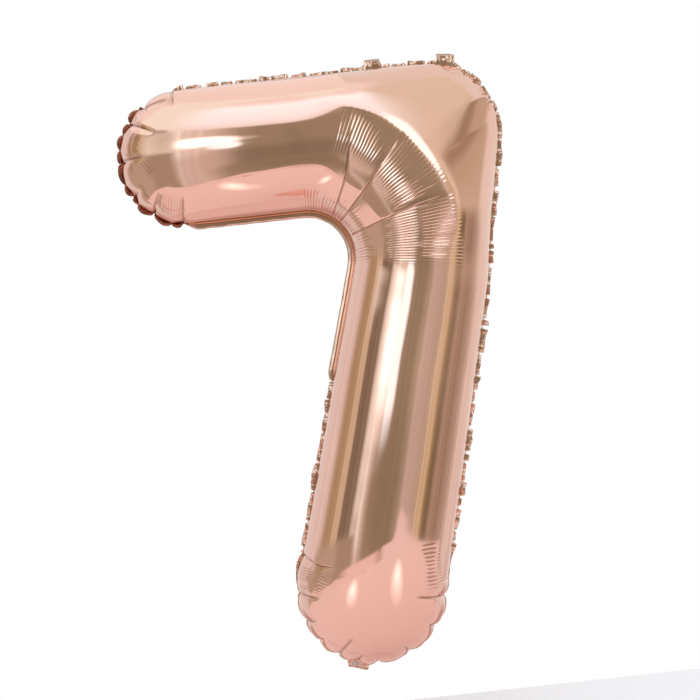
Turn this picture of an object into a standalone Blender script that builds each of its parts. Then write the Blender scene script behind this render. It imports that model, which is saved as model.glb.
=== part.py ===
"""Foil number balloon, the figure 7, inflated: two rose-gold foil panels, the weld border that joins
them, the filling tail folded behind the foot, the valve film inside the neck and two hanging tabs.

Metres, +Z up. The figure stands in the XZ plane and its front faces -Y. The origin is at the neck
under the foot, on the fold of the filling tail, where the balloon is tied.
"""

import math

import bmesh
import bpy
import numpy as np
from mathutils import Vector

# --- driving dimensions -------------------------------------------------------------------------
ARM_AXIS_Z = 0.7573  # height of the middle of the arm
ARM_HALF = 0.0965  # half the arm's thickness, from weld to weld
ARM_END_X = -0.1620  # centre of the arm's round end
NOTCH = (-0.0078, 0.5943)  # centre of the inner corner's fillet
NOTCH_R = 0.0665
LEG_LEFT_LEAN = math.radians(15.9)  # lean of the leg's left weld from the vertical
LEG_RIGHT_LEAN = math.radians(14.1)
LEG_LEAN = math.radians(15.0)
FOOT_LEFT, FOOT_RIGHT, FOOT_DOWN = 0.1040, 0.1085, 0.1090  # the round foot's three radii
TAIL_FOLD_OUT = 0.0088  # distance of the tail's fold beyond the foot's weld
FOOT = (  # centre of the round foot
    (FOOT_DOWN + TAIL_FOLD_OUT) * math.sin(LEG_LEAN),
    (FOOT_DOWN + TAIL_FOLD_OUT) * math.cos(LEG_LEAN),
)
CROWN_ARM, CROWN_BEND, CROWN_LEG, CROWN_FOOT = 0.0960, 0.1100, 0.1000, 0.1070

SHOULDER = (  # the outer weld from the top of the arm, round the shoulder and down the leg
    (0.1940, 0.8538),
    (0.2340, 0.8468),
    (0.2610, 0.8218),
    (0.2800, 0.7908),
    (0.2865, 0.7638),
    (0.2845, 0.7408),
    (0.2715, 0.6738),
    (0.2583, 0.6068),
    (0.2480, 0.5378),
)

FILM = 0.0004  # thickness of a foil panel
BORDER_T = 0.0008  # the two films fused together
BORDER_W = 0.0090
BORDER_LAP = 0.0013  # how far the border reaches in under the panels' rims
RIM_Y = 0.0009  # distance of a panel's rim from the plane of the weld

NECK_W = 0.0240  # gap in the weld that lets the valve through
VALVE_W, VALVE_L, VALVE_T, VALVE_GAP = 0.0195, 0.0780, 0.0002, 0.0003
VALVE_START = 0.0025  # height of the sleeve's mouth above the fold
TAIL_W, TAIL_L, TAIL_T, TAIL_GAP = 0.0280, 0.0550, 0.0004, 0.0003
FOLD_CLEAR = 0.0012  # where a folded flap starts behind its fold

TAB_W, TAB_L, TAB_T, TAB_HOLE_R = 0.0220, 0.0170, 0.0008, 0.0035
TAB_STUB = 0.0045  # how far a tab's root stands out of the border
TABS = {"hang_tab_left": 0.1140, "hang_tab_right": 0.2170}  # X of each tab's middle

CAP_STEPS, ARM_STEPS, BEND_STEPS, LEG_STEPS, AROUND = 9, 5, 20, 12, 14

ROSE_FOIL = (0.86, 0.52, 0.42, 1.0)
WELD_FOIL = (0.78, 0.47, 0.36, 1.0)
VALVE_FILM = (0.86, 0.87, 0.88, 1.0)


# --- outline ------------------------------------------------------------------------------------
def side(lean):
    """Unit vector square to a line that leans this far from the vertical, pointing right."""
    return np.array([math.cos(lean), -math.sin(lean)])


def smooth(points, steps=8):
    """A Catmull-Rom curve through the points."""
    p = np.array(points, float)
    p = np.vstack([2 * p[0] - p[1], p, 2 * p[-1] - p[-2]])
    out = []
    for i in range(1, len(p) - 2):
        for t in np.arange(steps) / steps:
            a, b, c, d = p[i - 1 : i + 3]
            out.append(
                0.5
                * (2 * b + (c - a) * t + (2 * a - 5 * b + 4 * c - d) * t**2 + (3 * b - a - 3 * c + d) * t**3)
            )
    return np.array(out + [p[-2]])


def outer_weld():
    """The outer weld line, from above the arm's round end to the right of the foot."""
    top = ARM_AXIS_Z + ARM_HALF
    foot = np.array(FOOT) + FOOT_RIGHT * side(LEG_RIGHT_LEAN)
    return np.vstack([[(ARM_END_X, top)], smooth(SHOULDER), [foot]])


def ray_hit(origin, direction, line):
    """Where the ray from origin first crosses the polyline."""
    for a, b in zip(line[:-1], line[1:]):
        m = np.array([direction, a - b]).T
        if abs(np.linalg.det(m)) < 1e-12:
            continue
        along, t = np.linalg.solve(m, a - origin)
        if along > 0 and -1e-9 <= t <= 1 + 1e-9:
            return origin + along * np.array(direction)
    raise ValueError("the ray misses the outline")


def ease(t):
    return t * t * (3 - 2 * t)


def stations():
    """(inner weld point, outer weld point, crown height) of each cross-section, from the tip of the
    arm round the bend to the tip of the foot."""
    rows = []
    top, bottom = ARM_AXIS_Z + ARM_HALF, ARM_AXIS_Z - ARM_HALF
    for i in range(CAP_STEPS):
        a = math.pi / 2 * i / CAP_STEPS
        x, half = ARM_END_X - ARM_HALF * math.cos(a), ARM_HALF * math.sin(a)
        rows.append(((x, ARM_AXIS_Z - half), (x, ARM_AXIS_Z + half), CROWN_ARM * math.sin(a)))
    for x in np.linspace(ARM_END_X, NOTCH[0], ARM_STEPS, endpoint=False):
        rows.append(((x, bottom), (x, top), CROWN_ARM))
    outer, centre = outer_weld(), np.array(NOTCH)
    for i in range(BEND_STEPS + 1):
        t = i / BEND_STEPS
        a = math.pi / 2 - t * (math.pi / 2 + LEG_LEFT_LEAN)
        ray = np.array([math.cos(a), math.sin(a)])
        crown = CROWN_ARM + (CROWN_LEG - CROWN_ARM) * t + (CROWN_BEND - CROWN_ARM) * math.sin(math.pi * t) ** 2
        rows.append((centre + NOTCH_R * ray, ray_hit(centre, ray, outer), crown))
    foot = np.array(FOOT)
    left_end = foot - FOOT_LEFT * side(LEG_LEFT_LEAN)
    right_end = outer[-1]
    knee_left, knee_right = rows[-1][0], rows[-1][1]
    for i in range(1, LEG_STEPS):
        t = i / LEG_STEPS
        crown = CROWN_LEG + (CROWN_FOOT - CROWN_LEG) * ease(t)
        rows.append((knee_left + (left_end - knee_left) * t, knee_right + (right_end - knee_right) * t, crown))
    down = -np.array([math.sin(LEG_LEAN), math.cos(LEG_LEAN)])
    for i in range(CAP_STEPS, -1, -1):
        a = math.pi / 2 * i / CAP_STEPS
        tip = foot + down * FOOT_DOWN * math.cos(a)
        left = tip + (left_end - foot) * math.sin(a)
        right = tip + (right_end - foot) * math.sin(a)
        rows.append((left, right, CROWN_FOOT * math.sin(a)))
    return [(np.array(a, float), np.array(b, float), h) for a, b, h in rows]


def weld_loop(rows):
    """The closed weld line, anticlockwise seen from the front, from the tip of the foot."""
    right = [b for _, b, _ in rows[::-1]]
    left = [a for a, _, _ in rows[1:-1]]
    return np.array(right + left)


def loop_normals(loop):
    """Unit vectors pointing out of the closed loop at each of its points."""
    along = np.roll(loop, -1, axis=0) - np.roll(loop, 1, axis=0)
    out = np.stack([along[:, 1], -along[:, 0]], axis=1)
    return out / np.linalg.norm(out, axis=1)[:, None]


# --- building -----------------------------------------------------------------------------------
def material(name, colour, roughness, metallic):
    mat = bpy.data.materials.new(name)
    mat.use_nodes = True
    shader = mat.node_tree.nodes["Principled BSDF"]
    shader.inputs["Base Color"].default_value = colour
    shader.inputs["Roughness"].default_value = roughness
    shader.inputs["Metallic"].default_value = metallic
    mat.diffuse_color = colour
    return mat


def add(name, bm, mat, round_piece=False):
    """A new object from the bmesh, with its normals pointing out."""
    mesh = bpy.data.meshes.new(name)
    bmesh.ops.recalc_face_normals(bm, faces=bm.faces)
    bm.to_mesh(mesh)
    bm.free()
    mesh.materials.append(mat)
    if round_piece:
        mesh.shade_smooth()
    piece = bpy.data.objects.new(name, mesh)
    bpy.context.scene.collection.objects.link(piece)
    return piece


def half_shell(name, rows, facing, mat):
    """One foil panel: half-ellipse sections between the two welds, given its thickness inwards."""
    bm = bmesh.new()
    grid = []
    for inner, outer, crown in rows:
        if crown < 1e-9:
            tip = (inner + outer) / 2
            grid.append([bm.verts.new((tip[0], facing * RIM_Y, tip[1]))] * (AROUND + 1))
            continue
        middle, half, line = (inner + outer) / 2, (outer - inner) / 2, []
        for j in range(AROUND + 1):
            a = math.pi * j / AROUND
            x, z = middle - half * math.cos(a)
            line.append(bm.verts.new((x, facing * (RIM_Y + crown * math.sin(a)), z)))
        grid.append(line)
    for one, two in zip(grid[:-1], grid[1:]):
        for j in range(AROUND):
            corners = list(dict.fromkeys([one[j], one[j + 1], two[j + 1], two[j]]))
            face = bm.faces.new(corners)
            face.normal_update()
            if face.normal.dot(Vector((0, facing, 0))) < 0:
                face.normal_flip()
    mesh = bpy.data.meshes.new(name)
    bm.to_mesh(mesh)
    bm.free()
    mesh.materials.append(mat)
    mesh.shade_smooth()
    panel = bpy.data.objects.new(name, mesh)
    bpy.context.scene.collection.objects.link(panel)
    film = panel.modifiers.new("film", "SOLIDIFY")
    film.thickness, film.offset, film.use_rim = FILM, -1, True
    return panel


def plate(bm, outline, low, high, place):
    """A flat plate between two levels; place turns (across, along, level) into a point."""
    base = [bm.verts.new(place(u, v, low)) for u, v in outline]
    lid = [bm.verts.new(place(u, v, high)) for u, v in outline]
    bm.faces.new(base[::-1])
    bm.faces.new(lid)
    for i in range(len(outline)):
        k = (i + 1) % len(outline)
        bm.faces.new((base[i], base[k], lid[k], lid[i]))


def in_plane(u, v, level):
    return (u, level, v)


def flat(u, v, level):
    return (u, v, level)


def at_x_on_top(loop, x):
    """Point, tangent and outward normal of the upper weld at this X."""
    top = [(a, b) for a, b in zip(loop, np.roll(loop, -1, axis=0)) if min(a[1], b[1]) > ARM_AXIS_Z]
    for a, b in top:
        if min(a[0], b[0]) <= x < max(a[0], b[0]):
            point = a + (b - a) * (x - a[0]) / (b[0] - a[0])
            along = (b - a) / np.linalg.norm(b - a)
            return point, along, np.array([along[1], -along[0]])
    raise ValueError("no weld above this X")


def border_outline(loop):
    """The C-shaped border: out along its free edge, with the tabs' roots, and back under the rims."""
    normals = loop_normals(loop)
    tip = loop[0]
    outer, inner = [], []
    for p, n in zip(loop, normals):
        if np.linalg.norm(p - tip) < NECK_W / 2 + 0.002:
            continue
        outer.append(p + n * BORDER_W)
        inner.append(p - n * BORDER_LAP)
    across = np.array([math.cos(LEG_LEAN), -math.sin(LEG_LEAN)])
    down = -np.array([math.sin(LEG_LEAN), math.cos(LEG_LEAN)])
    ends = []
    for s in (1, -1):
        at = tip + across * s * NECK_W / 2
        ends.append((at + down * (BORDER_W - 0.0006), at - down * BORDER_LAP * 1.6))
    outer = [ends[0][0]] + outer + [ends[1][0]]
    inner = [ends[0][1]] + inner + [ends[1][1]]
    for x in TABS.values():
        p, along, n = at_x_on_top(loop, x)
        root = [
            p + along * s * TAB_W / 2 + n * d
            for s, d in ((-1, BORDER_W), (-1, BORDER_W + TAB_STUB), (1, BORDER_W + TAB_STUB), (1, BORDER_W))
        ]
        spot = np.array([np.dot(q - p, along) for q in outer])
        near = np.array([np.linalg.norm(q - p) for q in outer]) < 0.07
        keep = ~(near & (np.abs(spot) <= TAB_W / 2 + 0.0005))
        before = [i for i in range(len(outer)) if near[i] and keep[i] and spot[i] < 0]
        cut = max(before, key=lambda i: spot[i])
        outer = [q for i, q in enumerate(outer[: cut + 1]) if keep[i]] + root + [
            q for i, q in enumerate(outer) if i > cut and keep[i]
        ]
    return [tuple(q) for q in outer] + [tuple(q) for q in inner[::-1]]


def round_corners(width, length, radius, start=0.0, steps=5):
    """Outline of a flap from start to length, with its two far corners rounded."""
    points = [(-width / 2, start), (width / 2, start)]
    for cx, turn in ((width / 2 - radius, 0.0), (-width / 2 + radius, math.pi / 2)):
        for i in range(steps + 1):
            a = turn + math.pi / 2 * i / steps
            points.append((cx + radius * math.cos(a), length - radius + radius * math.sin(a)))
    return points


def hang_tab(name, loop, x, mat):
    """A tab with a round hole, lying back from its fold; its origin is on the fold."""
    p, along, n = at_x_on_top(loop, x)
    along = along if along[0] > 0 else -along
    bm = bmesh.new()
    middle = FOLD_CLEAR + (TAB_L - FOLD_CLEAR) * 0.56
    count = 24
    levels = (-TAB_T / 2, TAB_T / 2)
    rings = []
    for level in levels:
        edge, hole = [], []
        for i in range(count):
            a = 2 * math.pi * (i + 0.5) / count
            c, s = math.cos(a), math.sin(a)
            reach_u = TAB_W / 2 / max(abs(c), 1e-6)
            reach_v = ((TAB_L - middle) if s > 0 else (middle - FOLD_CLEAR)) / max(abs(s), 1e-6)
            reach = min(reach_u, reach_v, TAB_W / 2 * (1.10 if s > 0 else 2))
            edge.append(bm.verts.new((c * reach, middle + s * reach, level)))
            hole.append(bm.verts.new((c * TAB_HOLE_R, middle + s * TAB_HOLE_R, level)))
        rings.append((edge, hole))
    for i in range(count):
        k = (i + 1) % count
        (low_edge, low_hole), (high_edge, high_hole) = rings
        bm.faces.new((low_edge[i], low_edge[k], low_hole[k], low_hole[i]))
        bm.faces.new((high_edge[k], high_edge[i], high_hole[i], high_hole[k]))
        bm.faces.new((low_edge[k], low_edge[i], high_edge[i], high_edge[k]))
        bm.faces.new((low_hole[i], low_hole[k], high_hole[k], high_hole[i]))
    tab = add(name, bm, mat)
    fold = p + n * (BORDER_W + TAB_STUB + TAB_T / 2 + 0.0004)
    tab.location = (fold[0], 0, fold[1])
    tab.rotation_euler = (0, -math.atan2(along[1], along[0]), 0)
    return tab


def filling_tail(mat):
    """Two plies of the open filling tail on an empty whose X axis is the fold behind the foot."""
    fold = bpy.data.objects.new("tail_fold", None)
    fold.empty_display_size = 0.02
    bpy.context.scene.collection.objects.link(fold)
    fold.rotation_euler = (0, LEG_LEAN, 0)
    outline = round_corners(TAIL_W, TAIL_L, 0.004, start=FOLD_CLEAR)
    for name, level in (
        ("tail_front_ply", -TAIL_GAP / 2 - TAIL_T),
        ("tail_back_ply", TAIL_GAP / 2),
    ):
        bm = bmesh.new()
        plate(bm, outline, level, level + TAIL_T, flat)
        ply = add(name, bm, mat)
        ply.parent = fold


def valve_film(mat):
    """The two plies of the flat valve sleeve, from the neck up into the foot."""
    mouth = Vector((math.sin(LEG_LEAN), 0, math.cos(LEG_LEAN))) * VALVE_START
    outline = [
        (-VALVE_W / 2, 0),
        (VALVE_W / 2, 0),
        (VALVE_W / 2, VALVE_L * 0.8),
        (VALVE_W * 0.36, VALVE_L),
        (-VALVE_W * 0.36, VALVE_L),
        (-VALVE_W / 2, VALVE_L * 0.8),
    ]
    for name, level in (
        ("valve_front_film", -VALVE_GAP / 2 - VALVE_T),
        ("valve_back_film", VALVE_GAP / 2),
    ):
        bm = bmesh.new()
        plate(bm, outline, level, level + VALVE_T, in_plane)
        film = add(name, bm, mat)
        film.location = mouth
        film.rotation_euler = (0, LEG_LEAN, 0)


def build():
    for piece in list(bpy.data.objects):
        bpy.data.objects.remove(piece, do_unlink=True)
    foil = material("rose_gold_foil", ROSE_FOIL, 0.14, 1.0)
    weld = material("welded_foil", WELD_FOIL, 0.24, 1.0)
    clear = material("valve_film", VALVE_FILM, 0.35, 0.0)
    rows = stations()
    loop = weld_loop(rows)
    half_shell("front_panel", rows, -1, foil)
    half_shell("back_panel", rows, 1, foil)
    bm = bmesh.new()
    plate(bm, border_outline(loop), -BORDER_T / 2, BORDER_T / 2, in_plane)
    add("weld_border", bm, weld)
    filling_tail(weld)
    valve_film(clear)
    for name, x in TABS.items():
        hang_tab(name, loop, x, weld)


build()
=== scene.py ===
"""The inflated foil figure 7 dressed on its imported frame: swollen film with its gathers, ribs and
creases, the crinkled weld border, the folded tail and tabs, a pale floor and a soft studio."""

import math
from functools import partial, reduce

import bmesh
import bpy
import numpy as np
from mathutils import Matrix

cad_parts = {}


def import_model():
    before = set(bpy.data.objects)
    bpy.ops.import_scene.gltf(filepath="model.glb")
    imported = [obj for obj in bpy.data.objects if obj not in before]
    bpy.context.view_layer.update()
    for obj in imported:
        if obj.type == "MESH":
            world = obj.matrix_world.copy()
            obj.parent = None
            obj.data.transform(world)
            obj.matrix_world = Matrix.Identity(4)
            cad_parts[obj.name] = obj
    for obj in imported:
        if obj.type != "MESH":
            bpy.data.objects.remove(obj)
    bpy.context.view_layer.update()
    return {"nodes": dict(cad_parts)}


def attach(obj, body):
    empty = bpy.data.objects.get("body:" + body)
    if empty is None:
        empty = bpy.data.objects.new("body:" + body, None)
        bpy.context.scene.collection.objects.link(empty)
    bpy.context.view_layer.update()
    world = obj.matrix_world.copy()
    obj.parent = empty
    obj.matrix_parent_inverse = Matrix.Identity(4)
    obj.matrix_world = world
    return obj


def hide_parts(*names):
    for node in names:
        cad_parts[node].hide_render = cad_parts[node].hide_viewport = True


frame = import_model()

SCENE = bpy.context.scene

# --- the figure's dimensions in metres, as the frame has them, in its own plane (x, z) ----------
# the arm's middle height and half height, and where its round end begins
ARM_AXIS_Z, ARM_HALF, ARM_END_X = 0.7573, 0.0965, -0.1620
ARM_END = np.array([ARM_END_X, ARM_AXIS_Z])
# the centre and the radius of the round inner corner
NOTCH, NOTCH_R = np.array([-0.0078, 0.5943]), 0.0665
# how far the leg's two edges and its middle lean from upright
LEG_LEFT_LEAN, LEG_RIGHT_LEAN, LEG_LEAN = (math.radians(a) for a in (15.9, 14.1, 15.0))
# from the foot's centre to its left edge, its right edge and its tip, and from the tip to the fold
FOOT_LEFT, FOOT_RIGHT, FOOT_DOWN, FOLD_OUT = 0.1040, 0.1085, 0.1090, 0.0088
FOOT = (FOOT_DOWN + FOLD_OUT) * np.array([math.sin(LEG_LEAN), math.cos(LEG_LEAN)])
# the radius of the weld round the foot
FOOT_R = 0.1075
# half the depth at the arm's end, along the arm, at the bend, at the top of the leg and at the foot
CROWN_END, CROWN_ARM, CROWN_BEND, CROWN_LEG, CROWN_FOOT = 0.0925, 0.0985, 0.1050, 0.1000, 0.1060
# how long before the outline turns round the dome of each end begins
ARM_EARLY, FOOT_EARLY = 0.085, 0.078
# the outer edge, from the top of the arm round the outer corner and down
SHOULDER = (
    (0.1940, 0.8538),
    (0.2340, 0.8468),
    (0.2610, 0.8218),
    (0.2800, 0.7908),
    (0.2865, 0.7638),
    (0.2845, 0.7408),
    (0.2715, 0.6738),
    (0.2583, 0.6068),
    (0.2480, 0.5378),
)
# from the notch across the outer corner: where the figure is highest and where its ribs end
CREST_R, KNEE_R = 0.180, 0.2155
# where the two long outer edges would meet, their slopes, and how softly they do
CORNER = np.array([0.2960, 0.8345])
TOP_SLOPE, SIDE_SLOPE, CORNER_SOFT = 0.09, 0.175, 0.008
# the depth there falls by CREST_DROP from the crest to the knee. The knee begins at one slope and
# steepens by KNEE_TURN over KNEE_LONG, and the facet beyond it bows by this share of its length
CREST_DROP, KNEE_LONG = 0.0007, 0.020
KNEE_SLOPE, KNEE_TURN, FACET_BOW = 0.27, 0.20, 0.11
# the weld border's usual width, and the length of one bead round the arm's end
BORDER_W, BEAD_PITCH = 0.0090, 0.0245
# half the gap between the two panels at the weld
RIM_Y = 0.0005

# --- how fine the meshes are --------------------------------------------------------------------
# faces from edge to edge of a panel, which keeps each panel under 200,000 triangles
AROUND = 86
# the spacing of the rows that are chosen from, and of the chosen ones: on the plain leg, where the
# ribs lie, and near the two ends
STEP = 0.0005
PLAIN_PITCH, RIB_PITCH, END_PITCH = 0.0028, 0.00072, 0.0012
# the longest edge left in a tab or the tail
FLAP_EDGE = 0.0014


# --- small helpers ------------------------------------------------------------------------------
def step(a, b, x):
    """0 up to a, 1 from b on, and smooth between."""
    t = np.clip((np.asarray(x, float) - a) / (b - a), 0, 1)
    return t * t * (3 - 2 * t)


def ease(a, b, t):
    """From a to b as t goes from 0 to 1, level at both ends."""
    return a + (b - a) * t * t * (3 - 2 * t)


def window(a, b, c, d, x):
    """0 outside a to d, 1 between b and c, and smooth between."""
    return step(a, b, x) * (1 - step(c, d, x))


def waves(p, scale, seed, count=7):
    """Smooth unrepeating noise of about unit size over points in the plane or in space."""
    rng = np.random.default_rng(seed)
    total = np.zeros(len(p))
    for _ in range(count):
        way = rng.normal(size=p.shape[1])
        way *= rng.uniform(0.6, 1.5) / scale / np.linalg.norm(way)
        total += np.sin(p @ way * 2 * math.pi + rng.uniform(0, 2 * math.pi))
    return total / math.sqrt(count / 2)


def side(lean):
    """The direction across a limb that leans this much, to the right."""
    return np.array([math.cos(lean), -math.sin(lean)])


def bearing(v):
    """The angle of each plane vector in degrees, anticlockwise from +X."""
    return np.degrees(np.arctan2(v[:, 1], v[:, 0]))


def path_length(points):
    """The length along a polyline up to each of its points."""
    return np.concatenate([[0], np.cumsum(np.linalg.norm(np.diff(points, axis=0), axis=1))])


def soft_min(a, b, k):
    """The smaller of a and b, rounded where they are within k of each other."""
    gap = b - a
    return np.where(gap > k, a, np.where(gap < -k, b, (a + b) / 2 - (gap**2 / (4 * k) + k / 4)))


def smooth_curve(points, steps=60):
    """A Catmull-Rom curve through the points."""
    p = np.array(points, float)
    p = np.vstack([2 * p[0] - p[1], p, 2 * p[-1] - p[-2]])
    out = []
    for i in range(1, len(p) - 2):
        a, b, c, d = p[i - 1 : i + 3]
        for t in np.arange(steps) / steps:
            bend = (2 * a - 5 * b + 4 * c - d) * t**2 + (3 * b - a - 3 * c + d) * t**3
            out.append(0.5 * (2 * b + (c - a) * t + bend))
    return np.array(out + [p[-2]])


def ray_hit(origin, way, line):
    """Where the ray crosses the polyline."""
    a, b = line[:-1], line[1:]
    e = b - a
    cross = way[0] * e[:, 1] - way[1] * e[:, 0]
    cross = np.where(np.abs(cross) < 1e-12, 1e-12, cross)
    d = a - origin
    along = (d[:, 0] * e[:, 1] - d[:, 1] * e[:, 0]) / cross
    t = (d[:, 0] * way[1] - d[:, 1] * way[0]) / cross
    good = np.where((along > 0) & (t >= -1e-9) & (t <= 1 + 1e-9))[0][0]
    return origin + along[good] * way


def blur(values, sigma):
    """Gaussian blur along the first axis, with the ends carried on straight."""
    n = int(4 * sigma)
    k = np.exp(-0.5 * (np.arange(-n, n + 1) / sigma) ** 2)
    k /= k.sum()
    before, after = 2 * values[:1] - values[n:0:-1], 2 * values[-1:] - values[-2 : -n - 2 : -1]
    v = np.concatenate([before, values, after])
    return np.stack([np.convolve(v[:, i], k, "valid") for i in range(v.shape[1])], axis=1)


# --- the smooth swollen shape -------------------------------------------------------------------
def dome(early, radius, past):
    """The share of the full depth left this far past the start of an end's round outline."""
    far = np.clip(early + past, 0, None) / (early + radius)
    return np.sqrt(np.clip(1 - far**2, 0, None))


def middle_rows():
    """Closely spaced rows from the start of the arm's round end to the start of the foot's."""
    top, bottom = ARM_AXIS_Z + ARM_HALF, ARM_AXIS_Z - ARM_HALF
    rows = []
    for x in np.linspace(ARM_END_X, NOTCH[0], 260, endpoint=False):
        t = (NOTCH[0] - x) / (NOTCH[0] - ARM_END_X)
        rows.append((x, bottom, x, top, ease(CROWN_ARM, CROWN_END, t), 0.0))
    foot_right = FOOT + FOOT_RIGHT * side(LEG_RIGHT_LEAN)
    foot_left = FOOT - FOOT_LEFT * side(LEG_LEFT_LEAN)
    outer = np.vstack([[(ARM_END_X, top)], smooth_curve(SHOULDER), [foot_right]])
    for t in np.arange(900) / 899:
        a = math.pi / 2 - t * (math.pi / 2 + LEG_LEFT_LEAN)
        way = np.array([math.cos(a), math.sin(a)])
        bulge = math.sin(math.pi * t) ** 2
        crown = CROWN_ARM + (CROWN_LEG - CROWN_ARM) * t + (CROWN_BEND - CROWN_ARM) * bulge
        corner = window(0.02, 0.30, 0.66, 0.93, t)
        rows.append((*(NOTCH + NOTCH_R * way), *ray_hit(NOTCH, way, outer), crown, corner))
    knee, ankle = np.array(rows[-1][:4]), np.array([*foot_left, *foot_right])
    for t in np.arange(1, 701) / 700:
        rows.append((*(knee + (ankle - knee) * t), ease(CROWN_LEG, CROWN_FOOT, t), 0.0))
    return np.array(rows)


def sections():
    """Rows (inner x, z, outer x, z, crown, share of the corner's own shape) from the tip of the arm
    to the tip of the foot."""
    mid = middle_rows()
    run = path_length((mid[:, :2] + mid[:, 2:4]) / 2)
    even = np.arange(0, run[-1], STEP)
    flat = blur(np.stack([np.interp(even, run, column) for column in mid.T], axis=1), 22)
    # fine rows where the ribs lie, coarser ones along the plain leg
    middle = (flat[:, :2] + flat[:, 2:4]) / 2
    near = np.linalg.norm(middle - NOTCH, axis=1)
    ribbed = (near < 0.225) & (middle[:, 0] > -0.02)
    pitch = np.where(ribbed, RIB_PITCH, PLAIN_PITCH)
    pitch = np.where((even < 0.05) | (even > even[-1] - 0.08), END_PITCH, pitch)
    pitch = blur(pitch[:, None], 20)[:, 0] * 1.0
    at = np.concatenate([[0], np.cumsum(STEP / pitch)])[: len(even)]
    pick = np.interp(np.linspace(0, at[-1], int(at[-1]) + 1), at, even)
    body = np.stack([np.interp(pick, even, column) for column in flat.T], axis=1)
    body[:, 4] *= dome(ARM_EARLY, ARM_HALF, -pick) * dome(FOOT_EARLY, FOOT_DOWN, pick - even[-1])
    # the two round ends
    caps = 110
    left, down = np.array([-1.0, 0.0]), -np.array([math.sin(LEG_LEAN), math.cos(LEG_LEAN)])
    ends = []
    for row, crown, way, radius, reach, early in (
        (body[0], flat[0, 4], left, ARM_HALF, ARM_HALF, ARM_EARLY),
        (body[-1], flat[-1, 4], down, FOOT_DOWN, FOOT_DOWN + 0.0005, FOOT_EARLY),
    ):
        cap = []
        for a in math.pi / 2 * np.arange(caps) / caps:
            centre = (row[:2] + row[2:4]) / 2 + way * reach * math.cos(a)
            half = (row[2:4] - row[:2]) / 2 * math.sin(a)
            deep = crown * dome(early, radius, radius * math.cos(a))
            cap.append((*(centre - half), *(centre + half), deep, 0.0))
        ends.append(cap)
    return np.vstack([ends[0], body, ends[1][::-1]])


def corner_reach(angle):
    """How far from the notch along a ray the outer corner would be, if its two long edges met."""
    way = math.cos(math.radians(angle)), math.sin(math.radians(angle))
    wide, tall = CORNER - NOTCH
    top = (tall + TOP_SLOPE * wide) / max(way[1] + TOP_SLOPE * way[0], 0.05)
    right = (wide - SIDE_SLOPE * tall) / max(way[0] - SIDE_SLOPE * way[1], 0.05)
    return -CORNER_SOFT * np.logaddexp(-top / CORNER_SOFT, -right / CORNER_SOFT)


def corner_depth(r, angle, crown, weld):
    """Depth across the outer corner beyond the crest: level as far as the ribs go, a knee, a nearly
    flat facet, and a steeper strip along the blunt weld of the corner itself."""
    wide = max(corner_reach(angle), weld) - KNEE_R
    x = np.clip(r - KNEE_R, 0, None)
    far = np.clip(x / wide, 0, 1)

    def knee(x):
        ramp = np.clip(x / KNEE_LONG, 0, 1)
        turned = KNEE_LONG * (ramp**3 - ramp**4 / 2) + np.clip(x - KNEE_LONG, 0, None)
        return KNEE_SLOPE * x + KNEE_TURN * turned

    def edge(f):
        q = np.sqrt(1 - f)
        return 16 / 15 - 2 * q + 4 / 3 * q**3 - 2 / 5 * q**5

    before = 0.02 * np.clip(r - CREST_R, 0, None) ** 2 / (KNEE_R - CREST_R)
    level = np.where(x > 0, CREST_DROP, before)
    left = crown - CREST_DROP - knee(wide) - wide * FACET_BOW
    depth = crown - level - knee(x) - wide * FACET_BOW * far**2 - left * edge(far) / edge(1)
    steep = 2.0 + 9 * (1 - window(33, 37.5, 47, 54, angle))
    return soft_min(depth, steep * (weld - r), 0.012)


def swollen(rows, facing):
    """Grid of points (rows, around, 3) of one panel."""
    n = AROUND + 1
    phi = np.linspace(0, math.pi, n)
    across = (1 - np.cos(phi)) / 2
    flat = rows[:, None, 0:2] + (rows[:, None, 2:4] - rows[:, None, 0:2]) * across[None, :, None]
    depth = rows[:, 4:5] * np.sin(phi)[None, :]
    for k in np.nonzero(rows[:, 5] > 0.001)[0]:
        near = np.linalg.norm(rows[k, 0:2] - NOTCH)
        reach = np.linalg.norm(rows[k, 2:4] - NOTCH)
        r = near + (reach - near) * across
        inner = rows[k, 4] * np.sqrt(np.clip(1 - ((CREST_R - r) / (CREST_R - near)) ** 2, 0, 1))
        angle = bearing(rows[k : k + 1, 2:4] - NOTCH)[0]
        outer = corner_depth(r, angle, rows[k, 4], reach)
        shape = np.where(r < CREST_R, inner, np.maximum(outer, 0))
        depth[k] += rows[k, 5] * (shape - rows[k, 4] * np.sin(phi))
    depth[:, 0] = depth[:, -1] = 0
    return np.stack([flat[..., 0], facing * (RIM_Y + depth), flat[..., 1]], axis=2)


def grid_faces(rows, around, flip):
    """The quads of a grid of points, turned over where flip is set."""
    i = np.arange(rows - 1)[:, None] * around
    j = np.arange(around - 1)[None, :]
    a = (i + j).reshape(-1)
    quad = np.stack([a, a + 1, a + around + 1, a + around], axis=1)
    return quad[:, ::-1] if flip else quad


def add_object(name, data):
    thing = bpy.data.objects.new(name, data)
    SCENE.collection.objects.link(thing)
    return thing


def mesh_object(name, points, faces, material, smooth=True):
    mesh = bpy.data.meshes.new(name)
    mesh.from_pydata([tuple(p) for p in points], [], [tuple(f) for f in faces])
    mesh.materials.append(material)
    mesh.update()
    if smooth:
        mesh.shade_smooth()
    return add_object(name, mesh)


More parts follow.
